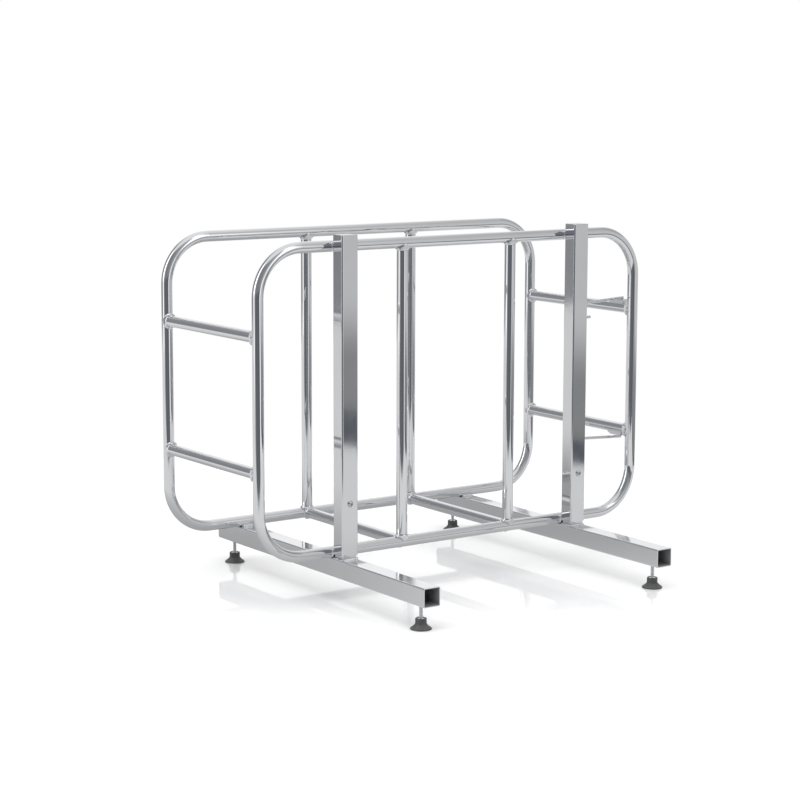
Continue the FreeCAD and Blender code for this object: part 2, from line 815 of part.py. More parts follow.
def make_hook_wire(name, rung_rise, offset, sign):
    """A wire that runs in from the rung, bends back towards the other hook and returns."""
    body = new_body(name)
    bend, reach = dim["hook_bend"], dim["hook_reach"]
    path = new_sketch(body, "HookPath", "XZ_Plane")
    points = [
        (zero, zero),
        (-reach, zero),
        (-reach - bend, -sign * bend),
        (-reach, -sign * 2 * bend),
        (dim["hook_return"] - reach, -sign * 2 * bend),
    ]
    add_outline(path, points, {edge: (bend, sign) for edge in (1, 2)}, closed=False)
    section = new_sketch(body, "WireSection", "YZ_Plane")
    add_circle(section, dim["wire_d"] / 2)
    doc.recompute()
    wire = body.newObject("PartDesign::AdditivePipe", "Wire")
    wire.Profile = section
    wire.Spine = path
    doc.recompute()
    end = [f"Edge{n}" for n, edge in enumerate(wire.Shape.Edges, start=1) if at_return_end(edge)]
    tip = body.newObject("PartDesign::Fillet", "Tip")
    tip.Base = (wire, end)
    tip.Radius = dim["wire_tip"].value
    tip.setExpression("Radius", dim["wire_tip"].text)
    doc.recompute()
    rung_z = dim["hoop_base"] + rung_rise
    tilt = FreeCAD.Rotation(vector(0, -sign, 0), dim["hook_tilt"].value)
    place(body, half_length, dim["hook_y"], rung_z + sign * offset, tilt)
    body.setExpression("Placement.Rotation.Angle", dim["hook_tilt"].text)
    return keep(body, name)


def make_hook_saddle(name, rung_rise, offset, sign):
    """A short plate on the rung that carries the hook's wire."""
    body = new_body(name)
    front, rear = dim["saddle_front"], dim["saddle_rear"]
    height = offset - dim["wire_d"] / 2
    outline = new_sketch(body, "SaddleSide", "YZ_Plane")
    points = [
        (-front, zero),
        (rear, zero),
        (rear, sign * tube_r),
        (rear - dim["saddle_slant"], sign * height),
        (-front, sign * height),
    ]
    add_outline(outline, points)
    pad(body, outline, dim["saddle_width"], middle=True)
    bed = new_sketch(body, "RungBed", "XZ_Plane")
    add_circle(bed, tube_r)
    pocket(body, bed)
    place(body, half_length, dim["hook_y"], dim["hoop_base"] + rung_rise)
    return keep(body, name)


def make_hooks():
    rungs = {
        "lower": (dim["rung_low"], dim["hook_below"], -1),
        "upper": (dim["rung_high"], dim["hook_above"], 1),
    }
    for level, (rise, offset, sign) in rungs.items():
        make_hook_wire(f"hook_wire_{level}", rise, offset, sign)
        make_hook_saddle(f"hook_saddle_{level}", rise, offset, sign)


# ---------------------------------------------------------------- build, check and write

make_cage()
make_posts_and_base()
make_feet()
make_hooks()
doc.recompute()

for item in doc.Objects:
    if {"Invalid", "Error"} & set(item.State):
        raise RuntimeError(f"{item.Label} failed: {item.State}")
for part in parts:
    shape = part.Shape
    if shape.isNull() or not shape.isValid() or not shape.Solids:
        raise RuntimeError(f"{part.Label} has no valid solid")

os.makedirs("parts", exist_ok=True)
for part in parts:
    part.Shape.exportStep(f"parts/{part.Label}.step")
print(f"{len(parts)} parts written")
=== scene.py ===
import json
import math

import bmesh
import bpy
from mathutils import Matrix, Vector, noise


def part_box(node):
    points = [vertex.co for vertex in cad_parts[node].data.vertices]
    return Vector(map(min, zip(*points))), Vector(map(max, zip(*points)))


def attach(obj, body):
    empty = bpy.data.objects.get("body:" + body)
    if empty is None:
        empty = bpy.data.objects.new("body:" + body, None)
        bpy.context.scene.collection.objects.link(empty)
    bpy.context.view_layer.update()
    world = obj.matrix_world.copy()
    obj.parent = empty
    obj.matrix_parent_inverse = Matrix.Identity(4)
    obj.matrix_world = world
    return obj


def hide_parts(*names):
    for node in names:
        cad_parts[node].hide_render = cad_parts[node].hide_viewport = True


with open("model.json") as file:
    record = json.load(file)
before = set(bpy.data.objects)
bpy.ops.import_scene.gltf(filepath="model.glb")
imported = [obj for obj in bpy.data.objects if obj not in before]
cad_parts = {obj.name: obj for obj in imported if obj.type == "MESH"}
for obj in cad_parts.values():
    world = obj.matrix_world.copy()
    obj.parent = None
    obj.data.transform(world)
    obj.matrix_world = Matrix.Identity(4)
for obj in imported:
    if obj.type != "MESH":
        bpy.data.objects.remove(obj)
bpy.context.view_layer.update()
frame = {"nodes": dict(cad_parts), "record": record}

# Looks of the chrome luggage rack: materials for the CAD pieces, modelled welds,
# threaded stems and moulded feet, a white studio and the camera.
# Metres, in the part's frame: +X right, +Y to the rear, +Z up, floor at z = 0.

MM = 0.001
ROOT = "rack"
SIDES = {"left": -1, "right": 1}
ENDS = ("front", "rear")
LEVELS = ("lower", "upper")


def middle(node):
    """The middle of a CAD node's box."""
    low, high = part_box(node)
    return (Vector(low) + Vector(high)) / 2


def extent(node):
    """The size of a CAD node's box."""
    low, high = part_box(node)
    return Vector(high) - Vector(low)


# Sizes and places worked out from the frame; the hoops' are those of their tubes' centres.
TUBE_R = extent("front_hoop").y / 2
HOOP_Y = {end: middle(f"{end}_hoop").y for end in ENDS}
HOOP_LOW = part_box("front_hoop")[0][2] + TUBE_R
HOOP_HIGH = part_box("front_hoop")[1][2] - TUBE_R
HOOP_X = extent("front_hoop").x / 2 - TUBE_R
ROD_X = abs(middle("front_rod_left").x)
RUNG_Z = {level: middle(f"left_rung_{level}").z for level in LEVELS}
POST = middle("post_left")
BEAM = middle("base_beam_left")
BEAM_SIZE = extent("base_beam_left")
BEAM_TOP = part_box("base_beam_left")[1][2]
HALF_POST = extent("post_left").x / 2
BEAM_WALL = 1.5 * MM

AXIS_X = Vector((1, 0, 0))
AXIS_Y = Vector((0, 1, 0))
AXIS_Z = Vector((0, 0, 1))


# ---------------------------------------------------------------- shader graphs


class Graph:
    """Adds nodes to a node tree and links them by socket name."""

    def __init__(self, tree):
        self.tree = tree
        tree.nodes.clear()

    def add(self, kind, settings=None, **sockets):
        """Adds a node; socket names are given with _ for spaces, or in_0 for a numbered one."""
        node = self.tree.nodes.new("ShaderNode" + kind)
        for key, value in (settings or {}).items():
            setattr(node, key, value)
        for key, value in sockets.items():
            if key.startswith("in_"):
                socket = node.inputs[int(key[3:])]
            else:
                socket = node.inputs[key.replace("_", " ")]
            if isinstance(value, bpy.types.NodeSocket):
                self.tree.links.new(value, socket)
            else:
                socket.default_value = value
        return node

    def math(self, operation, first, second=0.0):
        """Works out one sum of one or two values."""
        node = self.add("Math", {"operation": operation}, in_0=first, in_1=second)
        return node.outputs[0]

    def noise(self, where, scale, detail=3.0, rough=0.5):
        """Cloudy values about 0.5; scale counts lumps to the metre."""
        node = self.add("TexNoise", Vector=where, Scale=scale, Detail=detail, Roughness=rough)
        return node.outputs["Fac"]

    def fit(self, value, span, onto=(0.0, 1.0), smooth=False):
        """Maps a value from one span onto another and holds it there."""
        kind = "SMOOTHSTEP" if smooth else "LINEAR"
        node = self.add(
            "MapRange",
            {"interpolation_type": kind},
            Value=value,
            From_Min=span[0],
            From_Max=span[1],
            To_Min=onto[0],
            To_Max=onto[1],
        )
        return node.outputs["Result"]

    def blend(self, factor, first, second):
        """Mixes two colours."""
        node = self.add("Mix", {"data_type": "RGBA"})
        for index, value in ((0, factor), (6, first), (7, second)):
            if isinstance(value, bpy.types.NodeSocket):
                self.tree.links.new(value, node.inputs[index])
            else:
                node.inputs[index].default_value = value
        return node.outputs[2]

    def bump(self, height, strength, distance, under=None):
        """A normal tilted by a height, on top of another bump if one is given."""
        node = self.add("Bump", Height=height, Strength=strength, Distance=distance)
        if under:
            self.tree.links.new(under, node.inputs["Normal"])
        return node.outputs["Normal"]

    def surface(self, **sockets):
        """Ends a material's graph with one principled shader."""
        shader = self.add("BsdfPrincipled", **sockets)
        self.add("OutputMaterial", Surface=shader.outputs[0])


def grey(value, tint=(1.0, 1.0, 1.0)):
    """A grey, or one that leans to a tint."""
    return (value * tint[0], value * tint[1], value * tint[2], 1.0)


def new_graph(name):
    """A new material, its graph and its object coordinates in metres."""
    material = bpy.data.materials.new(name)
    material.use_nodes = True
    graph = Graph(material.node_tree)
    where = graph.add("TexCoord").outputs["Object"]
    return material, graph, where


COOL = (0.985, 0.995, 1.02)
WELD_SHADOW = (0.96, 0.98, 1.06)
SMUDGE_SCALE = 14.0
SWELL_SCALE = 38.0
WIPING_SCALE = 260.0
SPECK_SCALE = 1500.0

# How deep the painted light reaches inside a beam's open end before its painted shade is darkest, and
# how thin its sawn rim is marked.
PAINTED_LIGHT_DEPTH = 60 * MM
RIM_DEPTH = 0.05 * MM


def plated_layers(graph, where, bright, smooth, wave=1.0):
    """Colour, roughness and normal of polished plating with smudges and fine wiping marks."""
    cloud = graph.noise(where, SMUDGE_SCALE, detail=5.0, rough=0.6)
    fine = graph.noise(where, WIPING_SCALE, detail=4.0, rough=0.6)
    specks = graph.noise(where, SPECK_SCALE, detail=2.0, rough=0.5)
    colour = graph.blend(
        graph.fit(cloud, (0.3, 0.7)),
        grey(bright * 0.95, COOL),
        grey(bright, COOL),
    )
    smudge = graph.fit(cloud, (0.42, 0.72), (smooth, smooth * 2.2))
    mark = graph.fit(specks, (0.62, 0.78), (0.0, 0.16))
    roughness = graph.math("ADD", smudge, mark)
    swell = graph.noise(where, SWELL_SCALE, detail=2.0, rough=0.4)
    normal = graph.bump(swell, strength=0.10 * wave, distance=0.4 * MM)
    normal = graph.bump(fine, strength=0.06, distance=0.08 * MM, under=normal)
    return colour, roughness, normal


def chrome(name, bright=0.82, smooth=0.025, wave=1.0):
    """Polished plating; wave is how far it swells."""
    material, graph, where = new_graph(name)
    colour, roughness, normal = plated_layers(graph, where, bright, smooth, wave)
    graph.surface(Base_Color=colour, Metallic=1.0, Roughness=roughness, Normal=normal)
    return material


def beam_masks(graph, where):
    """Marks a beam's inner walls, how near they are to an open end (which sets the painted shade
    inside), and its sawn rims.
    """
    split = graph.add("SeparateXYZ", Vector=where)
    across = graph.math("ABSOLUTE", split.outputs["X"])
    across = graph.math("ABSOLUTE", graph.math("SUBTRACT", across, abs(BEAM.x)))
    upward = graph.math("ABSOLUTE", graph.math("SUBTRACT", split.outputs["Z"], BEAM.z))
    reach = graph.math("MAXIMUM", across, upward)
    inside = graph.math("LESS_THAN", reach, BEAM_SIZE.x / 2 - BEAM_WALL * 0.8)
    along = graph.math("ABSOLUTE", split.outputs["Y"])
    half = BEAM_SIZE.y / 2
    near_end = graph.fit(along, (half - PAINTED_LIGHT_DEPTH, half))
    rim = graph.math("GREATER_THAN", along, half - RIM_DEPTH)
    return inside, near_end, rim


def beam_chrome(name):
    """Plating outside, bright sawn rims, and dull inner walls with painted shade that darkens them
    deeper into the open tube.
    """
    material, graph, where = new_graph(name)
    colour, roughness, normal = plated_layers(graph, where, bright=0.84, smooth=0.07, wave=0.6)
    inside, near_end, rim = beam_masks(graph, where)
    scale = graph.noise(where, 420.0, detail=4.0, rough=0.7)
    inner_wall_and_painted_shade = graph.blend(scale, grey(0.22, COOL), grey(0.34, COOL))
    # Painted shade: the inner walls fade to near black deeper inside the open tube.
    inner_wall_and_painted_shade = graph.blend(near_end, grey(0.11), inner_wall_and_painted_shade)
    saw = graph.noise(where, 2600.0, detail=2.0, rough=0.6)
    sawn = graph.blend(saw, grey(0.78), grey(0.95))
    colour = graph.blend(rim, colour, sawn)
    colour = graph.blend(inside, colour, inner_wall_and_painted_shade)
    rough_end = graph.math("MAXIMUM", graph.math("MULTIPLY", rim, 0.34), roughness)
    rough = graph.math("MAXIMUM", graph.math("MULTIPLY", inside, 0.5), rough_end)
    metal = graph.math("SUBTRACT", 1.0, inside)
    graph.surface(Base_Color=colour, Metallic=metal, Roughness=rough, Normal=normal)
    return material


def weld_metal(name):
    """Plated weld: bright, rippled and pitted."""
    material, graph, where = new_graph(name)
    grain = graph.noise(where, 900.0, detail=4.0, rough=0.65)
    patch = graph.noise(where, 160.0, detail=3.0, rough=0.5)
    colour = graph.blend(patch, grey(0.66, WELD_SHADOW), grey(0.94, COOL))
    roughness = graph.fit(grain, (0.35, 0.75), (0.04, 0.22))
    normal = graph.bump(grain, strength=0.35, distance=0.25 * MM)
    graph.surface(Base_Color=colour, Metallic=1.0, Roughness=roughness, Normal=normal)
    return material


def turned_steel(name, bright, smooth):
    """Zinc plated steel with turning marks across the local height."""
    material, graph, where = new_graph(name)
    bands = graph.add("Mapping", Vector=where)
    bands.inputs["Scale"].default_value = (0.2, 0.2, 6.0)
    lines = graph.noise(bands.outputs[0], 700.0, detail=3.0, rough=0.6)
    cloud = graph.noise(where, 120.0, detail=4.0, rough=0.6)
    colour = graph.blend(cloud, grey(bright * 0.8, COOL), grey(bright, COOL))
    roughness = graph.fit(cloud, (0.3, 0.7), (smooth, smooth * 1.8))
    normal = graph.bump(lines, strength=0.12, distance=0.05 * MM)
    graph.surface(Base_Color=colour, Metallic=1.0, Roughness=roughness, Normal=normal)
    return material


def moulded_plastic(name):
    """Dark grey moulded plastic with a fine grain, paler in cloudy patches on what faces up."""
    material, graph, where = new_graph(name)
    grain = graph.noise(where, 1900.0, detail=3.0, rough=0.6)
    cloud = graph.noise(where, 130.0, detail=5.0, rough=0.65)
    up = graph.add("SeparateXYZ", Vector=graph.add("NewGeometry").outputs["Normal"])
    # Paler grey in cloudy patches where the surface faces up.
    upward_paling = graph.fit(up.outputs["Z"], (0.25, 0.95), (0.0, 0.55), smooth=True)
    upward_paling = graph.math("MULTIPLY", upward_paling, graph.fit(cloud, (0.35, 0.7), (0.25, 1.0)))
    colour = graph.blend(cloud, grey(0.052), grey(0.078))
    colour = graph.blend(upward_paling, colour, grey(0.17))
    roughness = graph.fit(cloud, (0.3, 0.7), (0.38, 0.56))
    normal = graph.bump(grain, strength=0.25, distance=0.06 * MM)
    graph.surface(Base_Color=colour, Roughness=roughness, Normal=normal)
    return material


MATERIALS = {
    "tube_chrome": chrome("Tube chrome"),
    "post_chrome": chrome("Post chrome", bright=0.76, smooth=0.05, wave=0.5),
    "cap_chrome": chrome("Cap chrome", bright=0.72, smooth=0.07, wave=0.5),
    "beam_chrome": beam_chrome("Beam chrome"),
    "stub_steel": chrome("Stub chrome", bright=0.72, smooth=0.12, wave=1.2),
    "hook_chrome": chrome("Hook chrome", bright=0.74, smooth=0.10),
    "weld_metal": weld_metal("Weld metal"),
    "screw_steel": turned_steel("Screw steel", bright=0.72, smooth=0.12),
    "zinc_steel": turned_steel("Zinc steel", bright=0.82, smooth=0.13),
    "foot_plastic": moulded_plastic("Foot plastic"),
}


def paint_cad():
    """Gives each CAD node the procedural material of its own slot."""
    for part in frame["record"]["subparts"]:
        node = frame["nodes"][part["node"]]
        node.data.materials.clear()
        node.data.materials.append(MATERIALS[part["material_slot"]])


# ---------------------------------------------------------------- mesh helpers


PRESSED = 0.18


def press_in(bm):
    """Flattens what stands out beyond the hoops' outer sides to a part of its height."""
    limit = HOOP_X + TUBE_R
    for vertex in bm.verts:
        over = abs(vertex.co.x) - limit
        if over > 0:
            vertex.co.x = math.copysign(limit + over * PRESSED, vertex.co.x)


def finish_piece(bm, name, slot, body, replaced=()):
    """Turns a bmesh into a named piece that rides on a body and wears its slot's material."""
    bmesh.ops.recalc_face_normals(bm, faces=bm.faces)
    mesh = bpy.data.meshes.new(name)
    bm.to_mesh(mesh)
    bm.free()
    for face in mesh.polygons:
        face.use_smooth = True
    mesh.materials.append(MATERIALS[slot])
    piece = bpy.data.objects.new(name, mesh)
    bpy.context.scene.collection.objects.link(piece)
    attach(piece, body)
    if replaced:
        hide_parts(*replaced)
    return piece


def soften(piece, degrees):
    """Smooth shading with edges kept above an angle."""
    piece.data.set_sharp_from_angle(angle=math.radians(degrees))


def add_rings(bm, rings, closed=False):
    """Skins rings of equal length; an open path gets a cap at each end."""
    rows = [[bm.verts.new(point) for point in ring] for ring in rings]
    count = len(rows[0])
    pairs = list(zip(rows, rows[1:]))
    if closed:
        pairs.append((rows[-1], rows[0]))
    for first, second in pairs:
        for index in range(count):
            after = (index + 1) % count
            bm.faces.new((first[index], first[after], second[after], second[index]))
    if not closed:
        bm.faces.new(rows[0])
        bm.faces.new(reversed(rows[-1]))


def turned_rings(centre, rings):
    """Turns rings of (radius, angle, height) about an upright axis into points."""
    return [
        [Vector((centre.x + r * math.cos(a), centre.y + r * math.sin(a), z)) for r, a, z in ring]
        for ring in rings
    ]


def full_turn(steps):
    """Evenly spaced angles of one turn."""
    return [2 * math.pi * step / steps for step in range(steps)]


# ---------------------------------------------------------------- weld beads


BEAD_STEP = 0.45 * MM
BEAD_ANGLES = full_turn(12)
# A bead swells along each ripple, its width drifts, its skin is lumpy and its ends taper.
RIPPLE = 1.9 * MM
RIPPLE_START = 0.90
RIPPLE_SWELL = 0.16
DRIFT, DRIFT_SCALE = 0.14, 420
LUMP, LUMP_SCALE = 0.10, 900
TAPER = 1.6


def bead_rings(path, radius, seed, closed):
    """Rings of a weld bead along a path: overlapping ripples, uneven width, tapered ends."""
    count = len(path)
    shift = Vector((seed * 7.31, seed * 3.17, seed * 5.73))
    travelled = 0.0
    total = sum((path[i + 1] - path[i]).length for i in range(count - 1))
    rings = []
    for index, centre in enumerate(path):
        before = path[index - 1] if closed or index else centre
        after = path[(index + 1) % count] if closed or index < count - 1 else centre
        if index:
            travelled += (centre - path[index - 1]).length
        along = (after - before).normalized()
        side = along.orthogonal().normalized()
        lift = along.cross(side)
        scale = RIPPLE_START + RIPPLE_SWELL * ((travelled / RIPPLE) % 1.0)
        scale += DRIFT * noise.noise(centre * DRIFT_SCALE + shift)
        if not closed:
            edge = min(travelled, total - travelled) / (TAPER * radius)
            scale *= math.sqrt(max(min(edge, 1.0), 0.03))
        ring = []
        for angle in BEAD_ANGLES:
            spot = Vector((math.cos(angle), math.sin(angle), 0))
            lump = 1 + LUMP * noise.noise(centre * LUMP_SCALE + shift + spot)
            offset = side * math.cos(angle) + lift * math.sin(angle)
            ring.append(centre + offset * radius * scale * lump)
        rings.append(ring)
    return rings


def even_path(points, closed):
    """The same path with its points a bead's step apart."""
    if closed:
        points = points + [points[0]]
    result = [points[0]]
    left = BEAD_STEP
    for start, end in zip(points, points[1:]):
        length = (end - start).length
        done = 0.0
        while length - done >= left:
            done += left
            result.append(start.lerp(end, done / length))
            left = BEAD_STEP
        left -= length - done
    if closed and (result[-1] - result[0]).length < BEAD_STEP * 0.6:
        result.pop()
    return result


def add_bead(bm, points, radius, seed, closed=False):
    """Adds one weld bead that follows the points; its seed makes it unlike the others."""
    path = even_path(points, closed)
    add_rings(bm, bead_rings(path, radius, seed, closed), closed)


def saddle_path(joint, strut_axis, tube_axis):
    """The line where a strut meets a tube of the same size, a little outside both."""
    across = strut_axis.cross(tube_axis)
    radius = TUBE_R + 0.75 * MM
    reach = TUBE_R + 1.5 * MM
    points = []
    for angle in full_turn(96):
        aside = radius * math.sin(angle)
        rise = math.sqrt(reach**2 - aside**2)
        points.append(
            joint + tube_axis * radius * math.cos(angle) + across * aside + strut_axis * rise
        )
    return points


# Radii of the beads round tube ends, round a stub's foot, up a post and beside a hoop,
# and where the seeds of the last three begin.
SADDLE_BEAD_R = 1.55 * MM
STUB_BEAD_R, STUB_SEED = 2.1 * MM, 40
POST_BEAD_R, POST_SEED = 1.9 * MM, 50
BASE_BEAD_R, BASE_SEED = 2.3 * MM, 70


def tube_welds():
    """One bead round each end of every rod, rung and cross bar."""
    joints = []
    for side, sign in SIDES.items():
        for end in ENDS:
            low = Vector((sign * ROD_X, HOOP_Y[end], HOOP_LOW))
            high = Vector((sign * ROD_X, HOOP_Y[end], HOOP_HIGH))
            inward = AXIS_Y if end == "front" else -AXIS_Y
            joints.append((f"{end}_rod_{side}_low", low, AXIS_Z, AXIS_X))
            joints.append((f"{end}_rod_{side}_high", high, -AXIS_Z, AXIS_X))
            joints.append((f"{end}_bar_{side}", low, inward, AXIS_X))
            for level in LEVELS:
                corner = Vector((sign * HOOP_X, HOOP_Y[end], RUNG_Z[level]))
                joints.append((f"{end}_rung_{side}_{level}", corner, inward, AXIS_Z))
    for number, (name, joint, strut_axis, tube_axis) in enumerate(joints):
        bm = bmesh.new()
        add_bead(bm, saddle_path(joint, strut_axis, tube_axis), SADDLE_BEAD_R, number, closed=True)
        press_in(bm)
        finish_piece(bm, f"weld_{name}", "weld_metal", ROOT)


def rounded_rectangle(width, depth, corner, steps=6):
    """Corner points of a rounded rectangle about the origin, in order."""
    points = []
    centres = ((1, 1, 0), (-1, 1, 90), (-1, -1, 180), (1, -1, 270))
    for x_sign, y_sign, start in centres:
        for step in range(steps + 1):
            angle = math.radians(start + 90 * step / steps)
            x = x_sign * (width / 2 - corner) + corner * math.cos(angle)
            y = y_sign * (depth / 2 - corner) + corner * math.sin(angle)
            points.append(Vector((x, y, 0)))
    return points


def stub_weld(side, post_x, number):
    """A bead round a stub's foot."""
    stub = extent(f"post_stub_{side}")
    outside = 1.6 * MM
    ring = rounded_rectangle(stub.x + outside, stub.y + outside, 2 * MM)
    foot = Vector((post_x, POST.y, BEAM_TOP + 0.9 * MM))
    bm = bmesh.new()
    add_bead(bm, [foot + point for point in ring], STUB_BEAD_R, STUB_SEED + number, closed=True)
    finish_piece(bm, f"weld_stub_{side}", "weld_metal", ROOT, [f"stub_weld_{side}"])


def post_weld(side, post_x, number):
    """Beads up both rear edges of a post, round the front hoop's lower and upper tubes."""
    steps = 24
    half_turn = 50
    reach = TUBE_R + 0.5 * MM
    bm = bmesh.new()
    for level, z in enumerate((HOOP_LOW, HOOP_HIGH)):
        for edge in (-1, 1):
            points = []
            for step in range(steps + 1):
                angle = math.radians(-half_turn + 2 * half_turn * step / steps)
                x = post_x + edge * (HALF_POST + 0.4 * MM)
                y = HOOP_Y["front"] - reach * math.cos(angle)
                points.append(Vector((x, y, z + reach * math.sin(angle))))
            seed = POST_SEED + 10 * number + 2 * level + edge
            add_bead(bm, points, POST_BEAD_R, seed)
    finish_piece(bm, f"weld_post_{side}", "weld_metal", ROOT, [f"post_welds_{side}"])


def base_weld(side, post_x, number):
    """Beads beside the hoops' lower tubes where they lie on a beam."""
    aside = 6.6 * MM
    height = 1.1 * MM
    half = 12 * MM
    bm = bmesh.new()
    for place, (end, y_sign) in enumerate((("front", 1), ("rear", -1), ("rear", 1))):
        centre = Vector((post_x, HOOP_Y[end] + y_sign * aside, BEAM_TOP + height))
        points = [centre - AXIS_X * half, centre + AXIS_X * half]
        seed = BASE_SEED + 10 * number + place
        add_bead(bm, points, BASE_BEAD_R, seed)
    finish_piece(bm, f"weld_base_{side}", "weld_metal", ROOT, [f"base_welds_{side}"])


def post_and_base_welds():
    """The beads of both posts and beams."""
    for number, (side, sign) in enumerate(SIDES.items()):
        post_x = sign * abs(POST.x)
        stub_weld(side, post_x, number)
        post_weld(side, post_x, number)
        base_weld(side, post_x, number)


# ---------------------------------------------------------------- feet


THREAD_PITCH = 1.0 * MM
THREAD_DEPTH = 0.55 * MM
THREAD_RUN_OUT = 1.2 * MM
STEM_R = 3.0 * MM
STEM_CHAMFER = 0.8 * MM
STEM_ANGLES = full_turn(40)
PITCH_STEPS = 8
COLLAR_SUNK = 2.55 * MM
COLLAR_HEIGHT = 2.2 * MM


def thread_radius(z, angle, low, high):
    """Radius of a right-hand thread that runs out at both ends."""
    phase = (z / THREAD_PITCH - angle / (2 * math.pi)) % 1.0
    groove = abs(2 * phase - 1)
    groove = min(max((groove - 0.12) / 0.70, 0.0), 1.0)
    fade = min((z - low) / THREAD_RUN_OUT, (high - z) / THREAD_RUN_OUT, 1.0)
    chamfer = min((high - z) / STEM_CHAMFER, 1.0)
    core = STEM_R - THREAD_DEPTH * groove * max(fade, 0.0)
    return min(core, STEM_R - 0.75 * MM * (1 - max(chamfer, 0.0)))


def foot_stem(end, side):
    """A collar under a threaded stem, in place of the plain CAD stem."""
    node = f"foot_stem_{end}_{side}"
    low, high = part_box(node)
    centre = middle(node)
    collar_r = extent(node).x / 2
    pad_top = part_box(f"foot_pad_{end}_{side}")[1][2]
    collar_low = pad_top - COLLAR_SUNK
    collar_high = collar_low + COLLAR_HEIGHT
    # (height, radius) from the tail's chamfer, over the collar, to where the thread begins.
    outline = [
        (low[2], STEM_R * 0.85),
        (low[2] + 0.4 * MM, STEM_R),
        (collar_low, STEM_R),
        (collar_low, collar_r - 0.3 * MM),
        (collar_low + 0.3 * MM, collar_r),
        (collar_high - 0.5 * MM, collar_r),
        (collar_high - 0.1 * MM, collar_r - 0.4 * MM),
        (collar_high, collar_r - 0.9 * MM),
        (collar_high, STEM_R + 0.5 * MM),
        (collar_high + 0.5 * MM, STEM_R),
    ]
    rings = [[(radius, angle, z) for angle in STEM_ANGLES] for z, radius in outline]
    start, stop = outline[-1][0], high[2]
    count = round((stop - start) / THREAD_PITCH * PITCH_STEPS)
    for step in range(1, count + 1):
        z = start + (stop - start) * step / count
        rings.append([(thread_radius(z, angle, start, stop), angle, z) for angle in STEM_ANGLES])
    bm = bmesh.new()
    add_rings(bm, turned_rings(centre, rings))
    finish_piece(bm, f"thread_stem_{end}_{side}", "zinc_steel", f"stem_{end}_{side}", [node])


PAD_ANGLES = full_turn(144)
PAD_CONE = 9.2 * MM
PAD_RIM = 2.0 * MM
PAD_RIBS = 12
RIB_HEIGHT = 0.28 * MM
SKIRT_ROWS = 12
FLANK_FOOT = 0.965
FLANK_CURVE = 1.55
HUB_FLATS = 16 * MM
HUB_RECESS = 2.6 * MM
RECESS_R = 6.2 * MM
BORE_R = 3.05 * MM
BORE_DEPTH = 8 * MM


def hexagon_radius(flats, angle, softness=0.06):
    """Radius of a hexagon with eased corners at an angle."""
    sector = (angle + math.pi / 6) % (math.pi / 3) - math.pi / 6
    sharp = flats / 2 / math.cos(sector)
    return min(sharp, flats / math.sqrt(3) * (1 - softness))


def skirt_rings(radius, floor):
    """Rings of a foot's round rim and of its hollow ribbed flank up to the hexagonal hub."""
    # (share of the radius, height) from under the foot, over its rounded edge.
    rim = (
        (0.3, 0.0),
        (FLANK_FOOT, 0.0),
        (0.99, 0.25 * MM),
        (1.0, 0.7 * MM),
        (1.0, 1.2 * MM),
        (0.985, PAD_RIM - 0.2 * MM),
    )
    rings = [[(radius * share, a, floor + height) for a in PAD_ANGLES] for share, height in rim]
    edge = radius * FLANK_FOOT
    for step in range(1, SKIRT_ROWS + 1):
        part = step / SKIRT_ROWS
        dip = 1 - (1 - part) ** FLANK_CURVE
        z = floor + PAD_RIM + (PAD_CONE - PAD_RIM) * part
        ring = []
        for angle in PAD_ANGLES:
            ridge = max(math.cos(PAD_RIBS * angle), 0.0) ** 6
            rib = RIB_HEIGHT * ridge * math.sin(math.pi * dip)
            hub = hexagon_radius(HUB_FLATS, angle)
            ring.append((edge + (hub - edge) * dip + rib, angle, z))
        rings.append(ring)
    return rings


def foot_pad(end, side):
    """A moulded foot: flared ribbed skirt, hexagonal hub and a recess for the stem's collar."""
    node = f"foot_pad_{end}_{side}"
    low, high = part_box(node)
    floor, top = low[2], high[2]
    hub = [(hexagon_radius(HUB_FLATS, angle), angle) for angle in PAD_ANGLES]
    rings = skirt_rings(extent(node).x / 2, floor)
    rings.append([(r, a, floor + PAD_CONE + 0.6 * MM) for r, a in hub])
    rings.append([(r, a, top - 0.5 * MM) for r, a in hub])
    rings.append([(r - 0.45 * MM, a, top) for r, a in hub])
    # (radius, depth) down into the collar's recess and the stem's bore.
    hollow = (
        (RECESS_R + 0.4 * MM, 0.0),
        (RECESS_R, 0.4 * MM),
        (RECESS_R, HUB_RECESS),
        (BORE_R, HUB_RECESS),
        (BORE_R, HUB_RECESS + BORE_DEPTH),
    )
    rings += [[(radius, a, top - depth) for a in PAD_ANGLES] for radius, depth in hollow]
    bm = bmesh.new()
    add_rings(bm, turned_rings(middle(node), rings))
    piece = finish_piece(bm, f"moulded_pad_{end}_{side}", "foot_plastic", f"pad_{end}_{side}", [node])
    soften(piece, 35)


# ---------------------------------------------------------------- studio


# The camera, turned from +Y to the right, tipped down and rolled, in radians.
CAMERA_AT = Vector((-2.0353, -2.7781, 0.8151))
CAMERA_TURN = 0.61829
CAMERA_DIP = 0.14477
CAMERA_ROLL = 0.0034
LENS_MM = 95.29
SENSOR_MM = 36.0
SHIFT = (-0.01244, -0.01515)

# The way the camera looks, on the floor.
AWAY = Vector((math.sin(CAMERA_TURN), math.cos(CAMERA_TURN), 0.0))
AWAY_ANGLE = math.pi / 2 - CAMERA_TURN

# Studio brightness at eye level by the angle round the horizon, in degrees: 0 is behind
# the camera and 180 straight ahead of it.
EYE_LEVEL = [
    (-180, 0.40),
    (-150, 0.22),
    (-134, 0.56),
    (-120, 0.26),
    (-96, 0.34),
    (-82, 0.42),
    (-76, 1.60),
    (-66, 1.50),
    (-58, 0.36),
    (-28, 0.12),
    (-6, 0.17),
    (12, 0.13),
    (30, 0.14),
    (40, 0.40),
    (48, 1.35),
    (56, 1.20),
    (64, 0.60),
    (82, 0.42),
    (112, 0.30),
    (138, 0.66),
    (165, 0.74),
    (180, 0.40),
]
